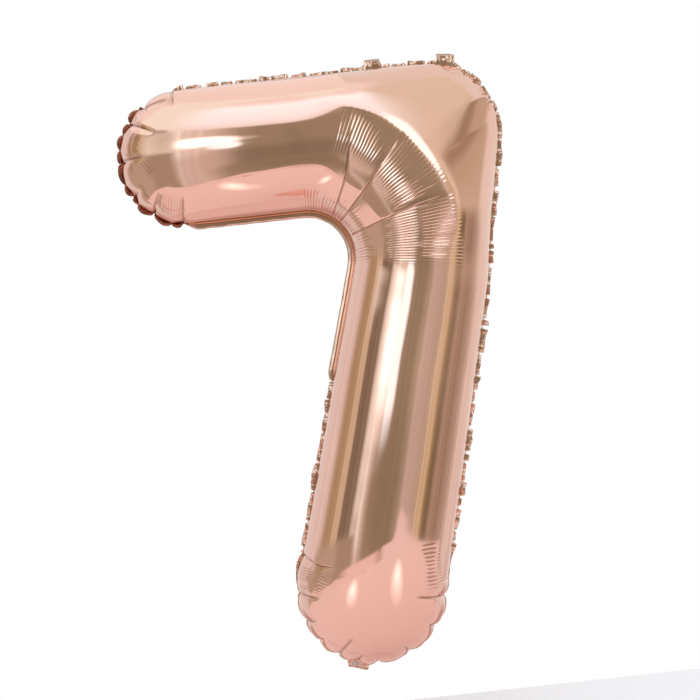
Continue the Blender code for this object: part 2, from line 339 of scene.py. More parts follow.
def grid_normals(points, faces):
    """Outward unit normals of a grid of points."""
    flat = points.reshape(-1, 3)
    a, b, c, d = (flat[faces[:, k]] for k in range(4))
    n = np.cross(c - a, d - b)
    total = np.zeros_like(flat)
    for k in range(4):
        np.add.at(total, faces[:, k], n)
    # the points at each tip lie on one another and share a normal
    total = total.reshape(points.shape)
    for row in (0, -1):
        total[row] = total[row].sum(axis=0)
    total = total.reshape(-1, 3)
    return total / np.maximum(np.linalg.norm(total, axis=1), 1e-12)[:, None]


# --- what the film does: gathers, creases and ribs ----------------------------------------------
def line_distance(p, line):
    """(signed distance, place from 0 to 1 along) of each point from a polyline."""
    line = np.array(line, float)
    seg = np.diff(line, axis=0)
    lengths = np.linalg.norm(seg, axis=1)
    total, start = lengths.sum(), np.concatenate([[0], np.cumsum(lengths)])
    best, place, sign = np.full(len(p), 9.0), np.zeros(len(p)), np.ones(len(p))
    for k, (a, e) in enumerate(zip(line[:-1], seg)):
        t = ((p - a) @ e) / (e @ e)
        low = 0 if k else -9
        high = 1 if k < len(seg) - 1 else 9
        tc = np.clip(t, 0, 1)
        d = np.linalg.norm(p - a - tc[:, None] * e, axis=1)
        s = np.sign(e[0] * (p - a)[:, 1] - e[1] * (p - a)[:, 0])
        nearer = d < best
        best = np.where(nearer, d, best)
        sign = np.where(nearer, s, sign)
        place = np.where(nearer, (start[k] + np.clip(t, low, high) * lengths[k]) / total, place)
    return sign * best, place


def crease(p, line, depth, width):
    """A sharp valley along a line: deepest at its start, with one side standing proud of the other,
    and how much painted shade its fold gets."""
    d, t = line_distance(p, line)
    size = step(-0.06, 0.02, t) * (1 - step(0.75, 1.0, t))
    valley = -depth * np.exp(-np.sqrt(d * d + 0.0003**2) / width)
    lip = 0.0003 * np.tanh(d / 0.0007) * np.exp(-((d / (1.6 * width)) ** 2))
    return (valley + lip) * size, 0.9 * np.exp(-((d / 0.0013) ** 2)) * size


def ribs(phase):
    """Rounded ridges with narrow valleys, about from -1 to 1."""
    return np.sin(phase) + 0.35 * (np.abs(np.sin(phase / 2 + math.pi / 4)) * 2 - 1.27)


def rib_strength(phase, seed, low):
    """A different strength for each rib, from low to 1."""
    rng = np.random.default_rng(seed)
    table = rng.uniform(low, 1.0, 400)
    k = np.floor(phase / (2 * math.pi)).astype(int)
    return table[k % 400]


def lobes(p, centre, notches):
    """0 at each notch's angle and 1 half way between two; 1 over the range of angles that has them;
    and each point's lobe by number."""
    a = bearing(p - centre) % 360
    cuts = np.array(notches)
    k = np.clip(np.searchsorted(cuts, a) - 1, 0, len(cuts) - 2)
    t = np.clip((a - cuts[k]) / (cuts[k + 1] - cuts[k]), 0, 1)
    inside = window(cuts[0] - 1, cuts[0] + 2, cuts[-1] - 2, cuts[-1] + 1, a)
    return (4 * t * (1 - t)) ** 0.62, inside, k


# the angles of the notches between the lobes of the two ends, from each end's centre
ARM_NOTCHES = (97.9, 127.7, 145.7, 180.2, 211.2, 232.0, 258.7)
FOOT_NOTCHES = (147.0, 177.8, 200.7, 220.0, 237.7, 253.5, 269.3, 295.0, 323.3, 348.2, 364.0)


# rows of small ribs on the front: the line they stand across, half their length, their pitch and
# their height
SMALL_RIBS = (
    (((-0.207, 0.690), (-0.176, 0.680)), 0.014, 0.0042, 0.00028),
    (((-0.229, 0.800), (-0.233, 0.762)), 0.005, 0.0040, 0.00022),
    (((-0.226, 0.754), (-0.214, 0.734)), 0.006, 0.0038, 0.00022),
    (((-0.240, 0.815), (-0.216, 0.829)), 0.006, 0.0040, 0.00020),
    (((-0.181, 0.838), (-0.172, 0.834)), 0.008, 0.0032, 0.00022),
    (((0.1186, 0.172), (0.1175, 0.103)), 0.008, 0.0058, 0.00034),
    (((0.131, 0.160), (0.131, 0.108)), 0.003, 0.0045, 0.00018),
    (((-0.030, 0.158), (-0.050, 0.116)), 0.009, 0.0042, 0.00030),
    (((-0.056, 0.157), (-0.068, 0.116)), 0.007, 0.0036, 0.00020),
    (((0.262, 0.812), (0.281, 0.788)), 0.008, 0.0040, 0.00022),
    (((0.222, 0.834), (0.238, 0.832)), 0.002, 0.0032, 0.00012),
)
# long sharp creases of the front: their line, depth and width
LONG_CREASES = (
    (((-0.1752, 0.8560), (-0.1735, 0.8262)), 0.0011, 0.0026),
    (((-0.2239, 0.8400), (-0.2120, 0.8300)), 0.0010, 0.0026),
    (((-0.2180, 0.8310), (-0.1780, 0.8397)), 0.0008, 0.0034),
    (((-0.2500, 0.8170), (-0.2300, 0.8060), (-0.2000, 0.7900)), 0.0011, 0.0030),
    (((-0.2560, 0.7600), (-0.2230, 0.7590)), 0.0009, 0.0024),
    (((-0.2240, 0.6770), (-0.2140, 0.6950), (-0.2040, 0.7090)), 0.0011, 0.0028),
    (((-0.1810, 0.6580), (-0.1770, 0.6760), (-0.1725, 0.6990)), 0.0016, 0.0028),
    (((-0.0640, 0.1750), (-0.0419, 0.1601), (-0.0140, 0.1544)), 0.0012, 0.0026),
    (((-0.0860, 0.1183), (-0.0400, 0.1129)), 0.0014, 0.0026),
    (((-0.0730, 0.0750), (-0.0500, 0.0785)), 0.0009, 0.0024),
    (((-0.0265, 0.0240), (0.0000, 0.0530)), 0.0016, 0.0028),
    (((-0.0010, 0.0100), (0.0100, 0.0250)), 0.0012, 0.0024),
    (((0.0290, 0.0000), (0.0314, 0.0100)), 0.0008, 0.0020),
    (((0.0810, 0.0070), (0.0700, 0.0290)), 0.0014, 0.0026),
    (((0.1250, 0.0440), (0.1080, 0.0530)), 0.0012, 0.0024),
    (((0.1400, 0.0910), (0.0900, 0.1014)), 0.0016, 0.0028),
    (((0.1840, 0.8640), (0.1850, 0.8500)), 0.0007, 0.0024),
    (((0.2500, 0.8450), (0.2420, 0.8270)), 0.0014, 0.0028),
    (((0.2930, 0.7880), (0.2680, 0.7850)), 0.0010, 0.0022),
)
# the three long creases of the inner corner: their angle from the notch beside it and far from it,
# how far out they end and how deep they are
CUTS = ((53.5, 66.3, 0.185, 0.0006), (41.0, 45.9, 0.222, 0.0008), (19.6, 17.2, 0.226, 0.0009))
CUT_START = 0.066
# where the ribs at the top of the leg would meet
FAN_CENTRE = np.array([-0.10, 0.604])


def film_shape(p, rim, facing, seed):
    """How far the film stands off its smooth shape at each point, in metres, and how much painted
    shade its fold gets there, from 0 to 1.

    p is the point's place in the plane of the figure and rim its distance from the weld there."""
    d = np.zeros(len(p))
    fold_shade = np.zeros(len(p))
    v = p - NOTCH
    r, th = np.linalg.norm(v, axis=1), bearing(v)
    # slow unevenness of the whole skin
    calm = 1 - 0.75 * step(0.24, 0.16, p[:, 1])
    d += calm * (0.00030 * waves(p, 0.26, seed) + 0.00002 * waves(p, 0.06, seed + 1))
    # the pillows between the three long creases of the inner corner, and beside the outer two
    reach = window(CUT_START, 0.082, 0.205, 0.235, r)
    c1, c2, c3 = (lo + (hi - lo) * np.clip((r - 0.075) / 0.13, 0, 1) for lo, hi, _, _ in CUTS)
    for high, low, size in ((c1, c2, 0.0005), (c2, c3, 0.0011)):
        t = np.clip((th - low) / (high - low), 0, 1)
        d += size * (4 * t * (1 - t)) ** 0.9 * reach
    for past, span, size in ((c3 - th, 34, 0.0006), (th - c1, 26, 0.0004)):
        t = np.clip(past / span, 0, 1)
        d += size * np.where(past > 0, (1 - t) ** 2 * t * 6.75, 0) * reach
    # the creases themselves
    for middle, (_, _, far, depth) in zip((c1, c2, c3), CUTS):
        off = np.radians(th - middle) * r
        size = window(CUT_START, CUT_START + 0.008, far - 0.05, far, r)
        d -= size * depth * np.exp(-np.sqrt(off**2 + 0.0003**2) / 0.0015)
        d += size * 0.0002 * np.tanh(off / 0.0005) * np.exp(-((off / 0.003) ** 2))
        # painted shade along the bottom of each crease
        fold_shade = np.maximum(fold_shade, size * np.exp(-((off / 0.0009) ** 2)))
    # the fans of ribs: above the creases, between them and below them, then the fine gathers at the
    # weld. For each: the angle that counts them, degrees a rib, height, weakest rib, how much they
    # sway, where they begin and end outwards, how ragged that is and over what length, where they
    # lie round the corner, and how much painted shade their valleys get
    sway = 0.5 * waves(p, 0.05, seed + 5, 4)
    tw = bearing(p - FAN_CENTRE)
    above, amid = window(46.5, 48.5, 68, 72, th), window(19.5, 22, 43, 45, th)
    below = window(-9.5, -5.0, 40, 41, tw) * (th < c3 - 0.5)
    by_weld = window(-16, -6, 78, 96, th) * (1 - 0.6 * window(22, 26, 36, 40, th))
    for k, (angle, pitch, height, low, swing, edges, ragged, grain, share, dark) in enumerate((
        (th, 1.55, 0.00010, 0.55, 1.0, (0.148, 0.158, 0.200, 0.214), 0.0020, 0.012, above, 0),
        (th, 1.62, 0.00019, 0.70, 0.6, (0.140, 0.152, 0.208, 0.219), 0.0015, 0.010, amid, 0),
        (tw, 0.92, 0.00025, 0.55, 0.25, (0.108, 0.128, 0.214, 0.2215), 0.0018, 0.012, below, 0),
        (th, 3.10, 0.00017, 0.30, 1.0, (0.066, 0.068, 0.080, 0.098), 0.0030, 0.020, by_weld, 0.55),
    )):
        edge = window(*edges, r + ragged * waves(p, grain, seed + 6 + k, 4))
        phase = angle / pitch * 2 * math.pi + swing * sway
        row = ribs(phase) * rib_strength(phase, seed + 3 + k, low) * edge * share
        d += height * row
        # painted shade in the rib valleys, as strong as the last column asks
        fold_shade = np.maximum(fold_shade, dark * np.clip(-row, 0, 1))
    # a step across the middle pillow and along the welds
    off = r - 0.1405 - 0.0035 * np.clip((th - 22) / 22, 0, 1)
    d -= window(20, 22, 43, 45, th) * 0.0004 * np.exp(-np.sqrt(off**2 + 2e-7) / 0.0016)
    off = rim - 0.0115 - 0.002 * waves(p, 0.15, seed + 10, 4)
    straight = (p[:, 0] > -0.16) & (p[:, 1] > 0.16)
    d -= straight * 0.00018 * np.exp(-np.abs(off) / 0.0016)
    # the gathered ends: puffy lobes between notches, and a kink behind them with painted shade along
    # it
    for centre, notches, kink in ((ARM_END, ARM_NOTCHES, 0.0005), (FOOT, FOOT_NOTCHES, 0.0002)):
        shape, inside, k = lobes(p, centre, notches)
        here = inside * (1 - step(0.026, 0.044, rim))
        rng = np.random.default_rng(seed + int(centre[1] * 1000))
        tall = rng.uniform(0.7, 1.3, len(notches))[k]
        d += here * (shape * tall - 0.6) * 0.0026 * np.exp(-rim / 0.016)
        ring = rim - 0.0185 + 0.004 * shape
        dent = np.exp(-np.sqrt(ring**2 + 4e-7) / 0.0030)
        d -= here * kink * dent * np.clip(shape * 1.6, 0, 1)
        seen = np.clip(0.5 + 0.5 * waves(p, 0.03, seed + 60, 4), 0, 1)
        fold_shade = np.maximum(fold_shade, here * kink / 0.0010 * np.exp(-((ring / 0.0013) ** 2)) * seen)
    if facing > 0:
        return d, fold_shade
    # on the front, the small ribs of the ends and the shoulder, and the long creases, with painted
    # shade in their valleys
    for line, wide, pitch, height in SMALL_RIBS:
        off, t = line_distance(p, line)
        long = np.linalg.norm(np.subtract(line[1], line[0]))
        phase = t * long / pitch * 2 * math.pi + 0.5 * sway
        here = np.exp(-((off / wide) ** 4)) * window(-0.02, 0.06, 0.94, 1.02, t)
        row = ribs(phase) * rib_strength(phase, int(long * 1e4), 0.4) * here
        d += height * row
        fold_shade = np.maximum(fold_shade, 0.6 * np.clip(-row, 0, 1))
    for line, depth, width in LONG_CREASES:
        shape, shade_mark = crease(p, line, depth, width)
        d += shape
        fold_shade = np.maximum(fold_shade, shade_mark)
    return d, fold_shade


# --- nodes and materials --------------------------------------------------------------------------
def node(tree, kind, **values):
    """A new node; in_Name sets an input and any other name sets a property."""
    n = tree.nodes.new(kind)
    for key, value in values.items():
        if key.startswith("in_"):
            n.inputs[key[3:]].default_value = value
        else:
            setattr(n, key, value)
    return n


def maths(tree, kind, a, b=None):
    """The result of one sum; a and b are numbers or sockets."""
    n = node(tree, "ShaderNodeMath", operation=kind)
    for socket, value in zip(n.inputs, (a, b)):
        if isinstance(value, (int, float)):
            socket.default_value = value
        elif value is not None:
            tree.links.new(value, socket)
    return n.outputs[0]


def between(tree, value, a, b):
    """0 where the value is a, 1 where it is b, and smooth between."""
    n = node(tree, "ShaderNodeMapRange", interpolation_type="SMOOTHSTEP")
    n.inputs["From Min"].default_value, n.inputs["From Max"].default_value = a, b
    tree.links.new(value, n.inputs["Value"])
    return n.outputs["Result"]


def mixed(tree, factor, a, b):
    """From a to b by the factor; each is a colour or a socket."""
    n = node(tree, "ShaderNodeMix", data_type="RGBA")
    tree.links.new(factor, n.inputs["Factor"])
    for socket, value in ((n.inputs["A"], a), (n.inputs["B"], b)):
        if isinstance(value, tuple):
            socket.default_value = (*value, 1)
        else:
            tree.links.new(value, socket)
    return n.outputs["Result"]


def noise(tree, coord, scale, detail):
    n = node(tree, "ShaderNodeTexNoise", in_Scale=scale, in_Detail=detail)
    tree.links.new(coord, n.inputs["Vector"])
    return n.outputs["Fac"]


def gloss(tree, value, span, shader):
    """Roughness that follows the value from one end of the span to the other."""
    n = node(tree, "ShaderNodeMapRange")
    n.inputs["To Min"].default_value, n.inputs["To Max"].default_value = span
    tree.links.new(value, n.inputs["Value"])
    tree.links.new(n.outputs["Result"], shader.inputs["Roughness"])


def new_material(name):
    """A new material, its nodes, its shader and its object coordinates."""
    mat = bpy.data.materials.new(name)
    mat.use_nodes = True
    tree = mat.node_tree
    coord = node(tree, "ShaderNodeTexCoord").outputs["Object"]
    return mat, tree, tree.nodes["Principled BSDF"], coord


# painted shade: the deep red-brown that the foil takes along folds, creases and rib valleys
FOLD_SHADE_COLOUR = (0.33, 0.13, 0.085)


def foil_material(name, colour, deep, rough, grain, crinkle, shade_folds=False):
    """Metallised film: uneven colour, cloudy gloss, drawn-film grain and fine crinkles. Where asked
    for, painted fold shade from a mesh attribute darkens its colour along folds and rib valleys."""
    mat, tree, shader, coord = new_material(name)
    link = tree.links.new
    shader.inputs["Metallic"].default_value = 1.0
    base = mixed(tree, noise(tree, coord, 9.0, 3.0), colour, deep)
    if shade_folds:
        shade_mark = node(tree, "ShaderNodeAttribute", attribute_name="fold_shade")
        base = mixed(tree, shade_mark.outputs["Fac"], base, FOLD_SHADE_COLOUR)
    link(base, shader.inputs["Base Color"])
    gloss(tree, noise(tree, coord, 34.0, 4.0), rough, shader)
    stretch = node(tree, "ShaderNodeMapping", in_Scale=(1.0, 1.0, 0.12))
    link(coord, stretch.inputs["Vector"])
    fine = node(tree, "ShaderNodeBump", in_Strength=1.0, in_Distance=grain)
    link(noise(tree, stretch.outputs["Vector"], 420.0, 2.0), fine.inputs["Height"])
    cells = node(tree, "ShaderNodeTexVoronoi", feature="F1", in_Scale=260.0)
    link(coord, cells.inputs["Vector"])
    bump = node(tree, "ShaderNodeBump", in_Strength=1.0, in_Distance=crinkle)
    link(cells.outputs["Distance"], bump.inputs["Height"])
    link(fine.outputs["Normal"], bump.inputs["Normal"])
    link(bump.outputs["Normal"], shader.inputs["Normal"])
    return mat


def film_material(name):
    """Thin milky polyethylene of the valve sleeve."""
    mat, tree, shader, coord = new_material(name)
    shader.inputs["Transmission Weight"].default_value = 0.6
    shader.inputs["IOR"].default_value = 1.5
    cloud = noise(tree, coord, 60.0, 4.0)
    tint = mixed(tree, cloud, (0.80, 0.81, 0.82), (0.93, 0.93, 0.94))
    tree.links.new(tint, shader.inputs["Base Color"])
    gloss(tree, cloud, (0.25, 0.55), shader)
    return mat


FOIL = foil_material(
    "rose_gold_foil", (0.945, 0.610, 0.505), (0.900, 0.560, 0.450), (0.045, 0.085), 2e-6, 1e-6, True
)
WELD = foil_material(
    "welded_foil", (0.86, 0.56, 0.45), (0.62, 0.38, 0.28), (0.08, 0.18), 6e-6, 8e-6
)
# painted shade: a darker copy of the weld foil, for the gathered beads round the arm's end
BEAD_SHADE = foil_material(
    "bead_shaded_foil", (0.40, 0.16, 0.11), (0.24, 0.09, 0.06), (0.08, 0.16), 6e-6, 6e-6
)
VALVE = film_material("valve_film")


# --- the pieces ---------------------------------------------------------------------------------
ROWS = sections()


def panel(name, facing, seed):
    """One foil panel, and its rim in the plane of the figure, down one edge and up the other."""
    points = swollen(ROWS, facing)
    n_rows, n_round = points.shape[:2]
    faces = grid_faces(n_rows, n_round, flip=facing > 0)
    normals = grid_normals(points, faces)
    if (normals[len(normals) // 2] @ np.array([0, facing, 0])) < 0:
        faces, normals = faces[:, ::-1], -normals
    flat = points.reshape(-1, 3)
    plane = flat[:, [0, 2]]
    phi = np.tile(np.linspace(0, math.pi, n_round), n_rows)
    half = np.repeat(np.linalg.norm(ROWS[:, 2:4] - ROWS[:, :2], axis=1) / 2, n_round)
    rim = half * (1 - np.abs(np.cos(phi)))
    # round the two ends the weld is the outline's own arc
    under_foot = (plane - FOOT) @ side(LEG_LEAN - math.pi / 2) < 0
    for centre, radius, beyond in (
        (ARM_END, ARM_HALF, plane[:, 0] < ARM_END_X),
        (FOOT, FOOT_R, under_foot),
    ):
        away = np.linalg.norm(plane - centre, axis=1)
        rim = np.where(beyond, np.maximum(radius - away, 0), rim)
    stand, fold_shade = film_shape(plane, rim, facing, seed)
    moved = flat + normals * stand[:, None]
    for centre, notches in ((ARM_END, ARM_NOTCHES), (FOOT, FOOT_NOTCHES)):
        shape, inside, _ = lobes(plane, centre, notches)
        away = np.linalg.norm(plane - centre, axis=1)
        way = (plane - centre) / np.maximum(away, 1e-6)[:, None]
        push = inside * (shape - 0.55) * 0.0030 * np.exp(-((rim / 0.012) ** 1.5))
        moved[:, [0, 2]] += way * push[:, None]
    # the rim lies in one plane, and nothing passes through it
    edge = np.zeros((n_rows, n_round), bool)
    edge[:, 0] = edge[:, -1] = True
    edge[0] = edge[-1] = True
    moved[:, 1] = np.where(edge.reshape(-1), facing * RIM_Y, moved[:, 1])
    moved[:, 1] = facing * np.maximum(facing * moved[:, 1], RIM_Y)
    grid = moved.reshape(n_rows, n_round, 3)
    loop = np.vstack([grid[:, 0], grid[::-1, -1][1:-1]])
    piece = mesh_object(name, moved, faces, FOIL)
    # painted shade along folds, creases and rib valleys, kept for the foil material to darken its
    # colour
    shade_mark = piece.data.attributes.new("fold_shade", "FLOAT", "POINT")
    shade_mark.data.foreach_set("value", np.clip(fold_shade, 0, 1).astype(np.float32))
    return piece, loop[:, [0, 2]]


# where the tabs and the tail leave the border: a point on the fold, its direction, half its length
# and half the thickness of the film there
TAB_HALF, TAIL_HALF = 0.0105, 0.0135
FOLD_ROOTS = (
    (np.array([0.1140, 0.8678]), np.array([1.0, 0.0]), TAB_HALF, 0.0003),
    (np.array([0.2185, 0.8646]), np.array([0.994055, -0.108881]), TAB_HALF, 0.0003),
    (np.array([0.0, 0.0004]), np.array([-0.965926, 0.258819]), TAIL_HALF, 0.0009),
)


def close_loop(loop, spacing):
    """The loop again with points evenly spaced, starting at the first."""
    loop = np.vstack([loop, loop[:1]])
    keep = np.concatenate([[True], np.linalg.norm(np.diff(loop, axis=0), axis=1) > 1e-7])
    loop = loop[keep]
    run = path_length(loop)
    at = np.linspace(0, run[-1], int(run[-1] / spacing), endpoint=False)
    return np.stack([np.interp(at, run, loop[:, k]) for k in range(2)], axis=1)


def out_normals(loop, spread):
    """Outward unit vectors of a closed loop, each from the points this many places to its sides."""
    along = np.roll(loop, -spread, axis=0) - np.roll(loop, spread, axis=0)
    out = np.stack([along[:, 1], -along[:, 0]], axis=1)
    out /= np.linalg.norm(out, axis=1)[:, None]
    ahead = np.roll(loop, -1, axis=0)
    return out * np.sign(np.sum(loop[:, 0] * ahead[:, 1] - loop[:, 1] * ahead[:, 0]))


def zigzag(s, pitch, seed):
    """Random straight-sided crinkles along s, from -1 to 1."""
    rng = np.random.default_rng(seed)
    n = int((s.max() - s.min()) / pitch * 1.6) + 4
    knots = s.min() + np.cumsum(rng.uniform(0.35, 1.6, n)) * pitch - pitch
    heights = rng.uniform(0.35, 1.0, n) * np.where(np.arange(n) % 2, 1, -1)
    heights *= np.where(rng.random(n) < 0.15, -1, 1)
    return np.interp(s, knots, heights)


def blocks(s, seed):
    """How far open the rim lies: each open piece by its own amount, and 0 along the short gaps where
    it is folded away."""
    rng = np.random.default_rng(seed)
    open_now, at = np.zeros(len(s)), s.min()
    while at < s.max():
        long, gap = rng.uniform(0.004, 0.045), rng.uniform(0.0012, 0.0060)
        tall = rng.uniform(0.45, 1.0)
        piece = tall * window(at, at + 0.0012, at + long, at + long + 0.0015, s)
        open_now = np.maximum(open_now, piece)
        at += long + gap
    return open_now


def border(loop):
    """The fused rim: crinkled along the straight runs and beaded round the arm's gathered end."""
    loop = close_loop(loop, 0.0008)
    out = out_normals(loop, 6)
    run = np.arange(len(loop)) * np.linalg.norm(loop[1] - loop[0])
    x, z = loop[:, 0], loop[:, 1]
    # where it lies smooth, where the ends are, and where it is crinkled
    corner = (np.linalg.norm(loop - NOTCH, axis=1) < 0.085) & (x - NOTCH[0] > -0.02)
    under = (z < ARM_AXIS_Z - 0.08) & (z > 0.62) & (x < 0.0)
    beside = (z > 0.42) & (z < 0.60) & (x < 0.12)
    calm = np.clip(blur((corner | under | beside).astype(float)[:, None], 8)[:, 0], 0, 1)
    arm_end = step(ARM_END_X + 0.004, ARM_END_X - 0.02, x) * (z > 0.6)
    foot_end = step(0.165, 0.140, z)
    ends = np.clip(arm_end + foot_end, 0, 1)
    crisp = (1 - calm) * (1 - ends)
    # its width
    bead = np.abs(np.sin(math.pi * (run / BEAD_PITCH + 0.15 * waves(loop, 0.08, 31, 4)))) ** 0.7
    beaded = window(126, 130, 256, 262, bearing(loop - ARM_END) % 360)
    uneven = 0.80 + 0.10 * waves(loop, 0.03, 12, 4) * (1 - 0.85 * calm)
    width = BORDER_W * uneven * (1 - ends)
    width += (0.0008 + (0.0008 + 0.0052 * bead) * beaded) * arm_end
    width += (0.0010 + 0.0008 * bead) * foot_end * (1 - arm_end)
    width += 0.0018 * calm * (1 - ends)
    block = blocks(run, 17)
    width *= 1 + 0.14 * zigzag(run, 0.0090, 18) * crisp
    width = width * (1 - crisp) + crisp * (0.0012 + (width - 0.0012) * block)
    bead = bead * (beaded * arm_end + 0.2 * foot_end)
    # it fills the way out to each fold, and is as thick there as what hangs on it
    thick = np.full(len(loop), 0.00010)
    root = np.zeros(len(loop))
    for at, way, half, solid in FOLD_ROOTS:
        off = np.abs((loop - at) @ way)
        near = (np.linalg.norm(loop - at, axis=1) < 0.03) * (1 - step(half, half + 0.0020, off))
        to_fold = np.abs((loop - at) @ np.array([-way[1], way[0]]))
        width = width * (1 - near) + to_fold * near
        thick = thick + (solid - thick) * near
        root = np.maximum(root, near * min(1, half / TAIL_HALF) ** 3)
        crisp = crisp * (1 - 0.6 * near)
        ends = ends * (1 - near)
    # how far it leaves its plane: at its outer edge, and half way out
    lift = crisp * (0.0020 * zigzag(run, 0.0075, 21) + 0.0006 * zigzag(run, 0.0030, 22))
    lift += calm * 0.0003 * waves(loop, 0.09, 23, 4)
    lift += ends * 0.0035 * bead
    belly = ends * 0.0020 * bead + calm * 0.0016
    pucker = root * 0.0022 * zigzag(run, 0.0034, 25)
    across = np.linspace(0, 1, 9)
    rows = []
    for t, face in [(t, -1) for t in across] + [(t, 1) for t in across[-2:0:-1]]:
        y = lift * t**1.3 * (1 + 0.25 * np.sin(7 * t + run * 260))
        y += math.sin(math.pi * t) * (belly + pucker * math.cos(5 * t))
        y = -y + face * thick * (1 - t**6) * min(1, 12 * t + 0.2)
        at = loop + out * (-0.0012 + (width + 0.0012) * t)[:, None]
        rows.append(np.stack([at[:, 0], y, at[:, 1]], axis=1))
    rows = np.array(rows).transpose(1, 0, 2)
    n, m = rows.shape[:2]
    here, beyond = np.arange(n)[:, None] * m, (np.arange(n)[:, None] + 1) % n * m
    j = np.arange(m)[None, :]
    turn = (j + 1) % m
    quads = np.stack([here + j, here + turn, beyond + turn, beyond + j], axis=2).reshape(-1, 4)
    piece = mesh_object("foil_weld_border", rows.reshape(-1, 3), quads, WELD)
    piece.data.materials.append(BEAD_SHADE)
    # painted shade: the beads round the arm's end take the darker copy of the weld foil
    dark = np.repeat(arm_end * ends > 0.5, m).astype(np.int32)
    piece.data.polygons.foreach_set("material_index", dark)
    return piece


front, front_loop = panel("foil_front", -1, 40)
back, _ = panel("foil_back", 1, 80)
rim_piece = border(front_loop)

for piece, cad in ((front, "front_panel"), (back, "back_panel"), (rim_piece, "weld_border")):
    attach(piece, "envelope")
    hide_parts(cad)


def crumpled(name, node_name, body, ways, seed, bend, stray):
    """A film flap shaped as its CAD node is, but crumpled more and more away from its fold line.
    The ways are the directions along the fold and out of the film."""
    along, normal = ways
    work = bmesh.new()
    work.from_mesh(frame["nodes"][node_name].data)
    for _ in range(7):
        long = [e for e in work.edges if e.calc_length() > FLAP_EDGE]
        if long:
            bmesh.ops.subdivide_edges(work, edges=long, cuts=1)
            bmesh.ops.triangulate(work, faces=work.faces[:])
    co = np.array([v.co for v in work.verts])
    flat = np.stack([co @ along, co[:, 1]], axis=1)
    free = step(0.0015, 0.0110, co[:, 1])
    swell = 0.7 * waves(flat, 0.020, seed, 4) + 0.3 * waves(flat, 0.007, seed + 1, 4)
    for size, noise_there, way in (
        (bend, swell, normal),
        (stray, waves(flat, 0.012, seed + 2, 4), along),
        (stray, waves(flat, 0.012, seed + 3, 4), np.array([0, 1.0, 0])),
    ):
        co = co + (size * noise_there * free)[:, None] * way
    for v, at in zip(work.verts, co):
        v.co = at
    mesh = bpy.data.meshes.new(name)
    work.to_mesh(mesh)
    work.free()
    mesh.materials.append(WELD)
    piece = add_object(name, mesh)
    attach(piece, body)
    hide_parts(node_name)


TAIL_WAYS = np.array([-0.965926, 0, 0.258819]), np.array([-0.258819, 0, -0.965926])
LEFT_WAYS = np.array([1.0, 0, 0]), np.array([0, 0, 1.0])
RIGHT_WAYS = np.array([0.994, 0, -0.109]), np.array([0.109, 0, 0.994])
for name, cad, body, ways, seed, bend, stray in (
    ("tail_front_film", "tail_front_ply", "tail", TAIL_WAYS, 51, 0.0015, 0.0009),
    ("tail_back_film", "tail_back_ply", "tail", TAIL_WAYS, 51, 0.0015, 0.0009),
    ("tab_film_left", "hang_tab_left", "hang_tab_left", LEFT_WAYS, 61, 0.0006, 0.0006),
    ("tab_film_right", "hang_tab_right", "hang_tab_right", RIGHT_WAYS, 71, 0.0006, 0.0006),
):
    crumpled(name, cad, body, ways, seed, bend, stray)

for name in ("valve_front_film", "valve_back_film"):
    solid = frame["nodes"][name]
    solid.data.materials.clear()
    solid.data.materials.append(VALVE)


# --- the room -----------------------------------------------------------------------------------
FLOOR_Z = -0.085
# the floor's outline: its front edge is where the pink of the foot's reflection ends
FLOOR = (
    (-1.3, 0.18),
    (-1.3, -0.75),
    (-0.25, -0.75),
    (-0.02, -1.0),
    (0.12, -1.9),
    (0.9, -1.9),
    (0.9, 0.18),
)
# soft patches of window light on it: centre, half width, half length and turn in degrees
WINDOW_LIGHT = ((0.28, -0.47, 0.085, 0.28, 29), (-0.27, -0.46, 0.075, 0.24, -31))
# the two colours that each of the cards drifts between
PALE, OLIVE, PINK = (
    ((0.60, 0.58, 0.50), (0.95, 1.02, 0.98)),
    ((0.24, 0.22, 0.14), (0.40, 0.36, 0.27)),
    ((0.89, 0.73, 0.71), (0.93, 0.77, 0.75)),
)
# cards outside the view, which only parts of the figure mirror: their left and right corners, their
# lowest and highest point, how soft their lower edge is, and their colours. The pale one is for the
# end of the arm and the top of the leg; the others stand before the lower leg and the foot
CARDS = (
    ("pale_card", (-1.20, -0.20), (-0.78, -0.91), 0.83, 1.45, 0.15, *PALE),
    ("olive_card", (-0.47, -0.68), (0.16, -1.00), FLOOR_Z, 0.47, 0.001, *OLIVE),
    ("pink_card", (-0.80, -0.50), (0.16, -0.985), FLOOR_Z, 0.06, 0.001, *PINK),
)


def floor():
    """Plain and pale; what the foil sees of it is pink, with the window's light on it."""
    mat, tree, shader, coord = new_material("pale_floor")
    link = tree.links.new
    shader.inputs["Roughness"].default_value = 0.6
    tint = mixed(tree, noise(tree, coord, 3.0, 5.0), (0.94, 0.91, 0.96), (0.97, 0.94, 0.99))
    in_foil = node(tree, "ShaderNodeLightPath").outputs["Is Glossy Ray"]
    link(mixed(tree, in_foil, tint, (0.93, 0.76, 0.77)), shader.inputs["Base Color"])
    glows = []
    for x, y, wide, long, turn in WINDOW_LIGHT:
        place = node(tree, "ShaderNodeMapping", vector_type="TEXTURE", in_Scale=(wide, long, 1))
        place.inputs["Location"].default_value = (x, y, FLOOR_Z)
        place.inputs["Rotation"].default_value = (0, 0, math.radians(turn))
        link(coord, place.inputs["Vector"])
        glow = node(tree, "ShaderNodeTexGradient", gradient_type="SPHERICAL")
        link(place.outputs["Vector"], glow.inputs["Vector"])
        glows.append(glow.outputs["Fac"])
    lit = maths(tree, "MULTIPLY", maths(tree, "ADD", *glows), in_foil)
    link(lit, shader.inputs["Emission Strength"])
    corners = [(x, y, FLOOR_Z) for x, y in FLOOR]
    mesh_object("floor", corners, [tuple(range(len(FLOOR)))], mat, smooth=False)


